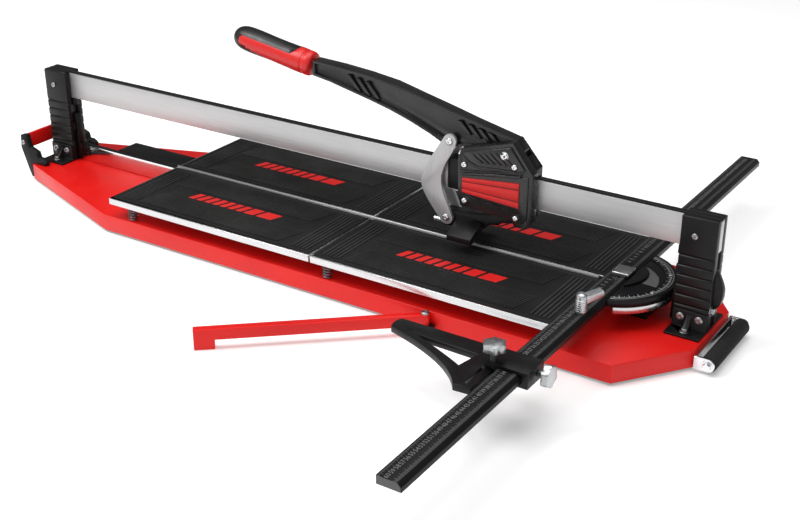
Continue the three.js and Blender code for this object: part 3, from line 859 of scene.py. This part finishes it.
def cut_across(piece, place, normal):
    """Adds a line of edges where a plane crosses the piece."""
    select_only(piece)
    bpy.ops.object.mode_set(mode="EDIT")
    bpy.ops.mesh.select_all(action="SELECT")
    bpy.ops.mesh.bisect(plane_co=place, plane_no=normal)
    done_editing()


def above(height, length, edge):
    """Whether a point on the grip's side lies past one of the panel's edges."""
    edge_height, edge_length, (rise, run) = edge
    return rise * (height - edge_height) + run * (length - edge_length) > 0


def in_red_panel(height, length):
    top, foot, end, upper_corner, lower_corner, shoulder = PANEL_EDGES
    if length < 24:
        return True
    if not above(height, length, foot) or above(height, length, end):
        return False
    if above(height, length, top):
        return not above(height, length, shoulder) and length < 60
    return not above(height, length, upper_corner) and above(height, length, lower_corner)


def lever_grip():
    """A black grip with a red collar and a red panel let into each side."""
    piece = turned("lever_grip_piece", GRIP_PROFILE, 48)
    for height, length, (rise, run) in PANEL_EDGES:
        cut_across(piece, (height * MM, 0, length * MM), (rise, 0, run))
    pick_faces(piece, lambda place, normal: in_red_panel(place.x / MM, place.z / MM))
    bpy.ops.mesh.inset(thickness=0.6 * MM, depth=0.5 * MM)
    mesh = bmesh.from_edit_mesh(piece.data)
    chosen = [face.index for face in mesh.faces if face.select]
    done_editing()
    turn = Matrix.Rotation(GRIP_TILT, 4, "Y") @ Matrix.Rotation(-math.pi / 2, 4, "Y")
    piece.data.transform(Matrix.Translation(at(*GRIP_BASE)) @ turn)
    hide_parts("lever_grip")
    finish_piece(piece, GRIP_BLACK, "lever_body", 40)
    piece.data.materials.append(GRIP_RED)
    for index in chosen:
        piece.data.polygons[index].material_index = 1


# ---------------------------------------------------------------- guide details
def ruler_numbers():
    """Centimetre numbers on both sides of the cut line, and the grey caps of the ruler's ends."""
    made = []
    low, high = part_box("angle_ruler")
    top = high.z / MM
    for centimetre in list(range(-60, -2)) + list(range(4, 54)):
        bpy.ops.object.select_all(action="DESELECT")
        bpy.ops.object.text_add(location=at(388.2, centimetre * 10, top), rotation=(0, 0, math.pi / 2))
        text = bpy.context.object
        text.data.body = str(abs(centimetre))
        text.data.size = 9 * MM
        text.data.align_x = "CENTER"
        text.data.align_y = "TOP"
        text.data.extrude = 0.05 * MM
        text.data.resolution_u = 2
        bpy.ops.object.convert(target="MESH")
        settle(bpy.context.object)
        made.append(bpy.context.object)
    finish_piece(joined("ruler_numbers", made), PRINT_WHITE, "guide")
    section = [(381.6, 72.6), (413.4, 72.6), (413.4, 78.6), (408.6, 83.4), (381.6, 83.4)]
    for name, y in (("front", -605.6), ("rear", 544.4)):
        cap = plate(f"ruler_{name}_cap", section, "y", y, y + 1.2)
        round_edges(cap, 0.3, 1)
        finish_piece(cap, CAP_GREY, "guide")


def ring_band(name, inner, outer, reach, z0, z1, steps=48):
    """A flat band round the protractor pivot, from minus reach to reach degrees."""
    outline = []
    for radius, order in ((outer, 1), (inner, -1)):
        for step in range(steps + 1):
            angle = math.radians(reach) * order * (2 * step / steps - 1)
            outline.append((PIVOT_X + radius * math.cos(angle), radius * math.sin(angle)))
    return plate(name, outline, "z", z0, z1)


def arc_points(radius, first, last, steps=16):
    """Points on a circle round the protractor pivot, between two angles in degrees."""
    points = []
    for step in range(steps + 1):
        angle = math.radians(first + (last - first) * step / steps)
        points.append((PIVOT_X + radius * math.cos(angle), radius * math.sin(angle)))
    return points


def protractor_details():
    """The dial, cut off beside the ruler, with its rims, hub and window, over the fixed scale ring."""
    dial = plate("dial", arc_points(91, -71.5, 71.5, 72), "z", 71.8, 82)
    round_edges(dial, 0.8, 2)
    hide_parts("protractor_disc")
    finish_piece(dial, DIAL, "guide")
    ring = ring_band("scale_ring", 86.5, 90.8, 66, 61, 71.2)
    round_edges(ring, 0.8, 2)
    finish_piece(ring, PLATE, "frame")
    line = ring_band("dial_ring", 83.6, 85.6, 69, 81.8, 82.4)
    round_edges(line, 0.2, 1)
    finish_piece(line, PLATE, "guide")
    hub = plate("dial_hub", arc_points(48, -50, 50, 24), "z", 81.8, 86)
    round_edges(hub, 1.2, 3)
    step = ring_band("dial_step", 72, 74, 66, 81.8, 82.8)
    round_edges(step, 0.4, 2)
    finish_piece(joined("dial_hub", [hub, step]), BLACK, "guide")
    outline = arc_points(50.5, -14, 48) + [(424, 38), (437, 29), (448, 17), (455, 0), (457, -14)]
    window = plate("dial_window", outline, "z", 81.8, 82.5)
    round_edges(window, 0.2, 1)
    finish_piece(window, CAP_GREY, "guide")


def clamp_lever_rings():
    """Raised rings round the post of the clamp lever and grooves across its handle."""
    rings = []
    for step in range(6):
        ring = turned("clamp_ring", [(0, 7.4), (0.5, 8.2), (1.3, 8.2), (1.8, 7.4)])
        rings.append(set_at(ring, "+z", (402, -142, 86.6 + step * 3.2)))
    dome = turned("clamp_dome", [(0, 7.4), (2.0, 6.6), (3.4, 4.6), (4.0, 2.0)])
    rings.append(set_at(dome, "+z", (402, -142, 109.1)))
    turn = Matrix.Translation(at(402, -142, 84.3)) @ Matrix.Rotation(math.radians(56), 4, "Z")
    for step in range(7):
        along = 11 + step * 2.8
        bar = turned("handle_rib", [(-6.3, 0.7), (6.3, 0.7)], 8)
        place = Matrix.Translation(Vector((along, 0, 24.6 + step * 0.45)) * MM)
        bar.data.transform(turn @ place @ Matrix.Rotation(math.pi / 2, 4, "X"))
        rings.append(bar)
    finish_piece(joined("clamp_rings", rings), SILVER, "guide_clamp")


# ---------------------------------------------------------------- breaker details
def beam_cap():
    """A dark cap along the beam, left of the table plates."""
    low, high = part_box("centre_beam")
    left = (low.x - middle.x) / MM
    cap = cube("beam_cap", (left + 0.5, -4.4, high.z / MM - 0.6), (-448, 4.4, high.z / MM + 0.6))
    round_edges(cap, 0.4, 2)
    finish_piece(cap, BLACK, "frame")


def breaker_details():
    """The bright clamping screw of the wheel holder under the carriage."""
    screw = turned("wheel_screw", [(0, 3.2), (0.6, 3.8), (17, 3.8), (17.6, 3.2)])
    screw.data.transform(Matrix.Translation(at(88, -6.5, 99)) @ Matrix.Rotation(math.pi / 2, 4, "Y"))
    finish_piece(screw, CHROME, "breaker")


for row in ("front", "rear"):
    for side in ("left", "right"):
        coil_spring(f"{row}_{side}_spring")
        table_pad(row, side)
refine_solids()
cover_panels()
cover_label()
lever_ribs()
lever_grip()
ruler_numbers()
protractor_details()
clamp_lever_rings()
beam_cap()
breaker_details()
add_fasteners()


# ---------------------------------------------------------------- stage
def lamp(name, place, aim, size, power):
    bpy.ops.object.select_all(action="DESELECT")
    bpy.ops.object.light_add(type="AREA", location=place)
    light = bpy.context.object
    light.name = name
    light.data.size = size
    light.data.energy = power
    light.rotation_euler = (Vector(aim) - Vector(place)).to_track_quat("-Z", "Y").to_euler()


def stage():
    bpy.ops.object.select_all(action="DESELECT")
    bpy.ops.mesh.primitive_plane_add(size=30, location=(0, 0, 0))
    floor = bpy.context.object
    floor.name = "floor"
    floor.data.materials.append(floor_finish())
    world = bpy.data.worlds.new("studio")
    world.use_nodes = True
    tree = world.node_tree
    background = tree.nodes["Background"]
    background.inputs["Color"].default_value = (1, 1, 1, 1)
    toward = tree.nodes.new("ShaderNodeTexCoord")
    apart = tree.nodes.new("ShaderNodeSeparateXYZ")
    share = tree.nodes.new("ShaderNodeMapRange")
    for name, value in (("From Min", -0.4), ("From Max", 0.3), ("To Min", 0.62), ("To Max", 0.12)):
        share.inputs[name].default_value = value
    tree.links.new(toward.outputs["Generated"], apart.inputs[0])
    tree.links.new(apart.outputs["Y"], share.inputs["Value"])
    tree.links.new(share.outputs[0], background.inputs["Strength"])
    bpy.context.scene.world = world
    lamp("key", (-1.3, -1.3, 2.5), (0, 0, 0.1), 1.2, 44)
    lamp("overhead", (0.2, 0.2, 3.0), (0.1, 0.0, 0), 2.6, 56)
    bpy.context.scene.view_settings.view_transform = "Standard"


def camera():
    bpy.ops.object.select_all(action="DESELECT")
    place = Vector((1.1377, -1.5444, 0.9003))
    aim = Vector((0.1148, 0.0336, 0.0040))
    bpy.ops.object.camera_add(location=place)
    made = bpy.context.object
    made.name = "camera"
    made.rotation_euler = (aim - place).to_track_quat("-Z", "Y").to_euler()
    made.data.lens = 58.5
    made.data.sensor_width = 36
    bpy.context.scene.camera = made


stage()
camera()
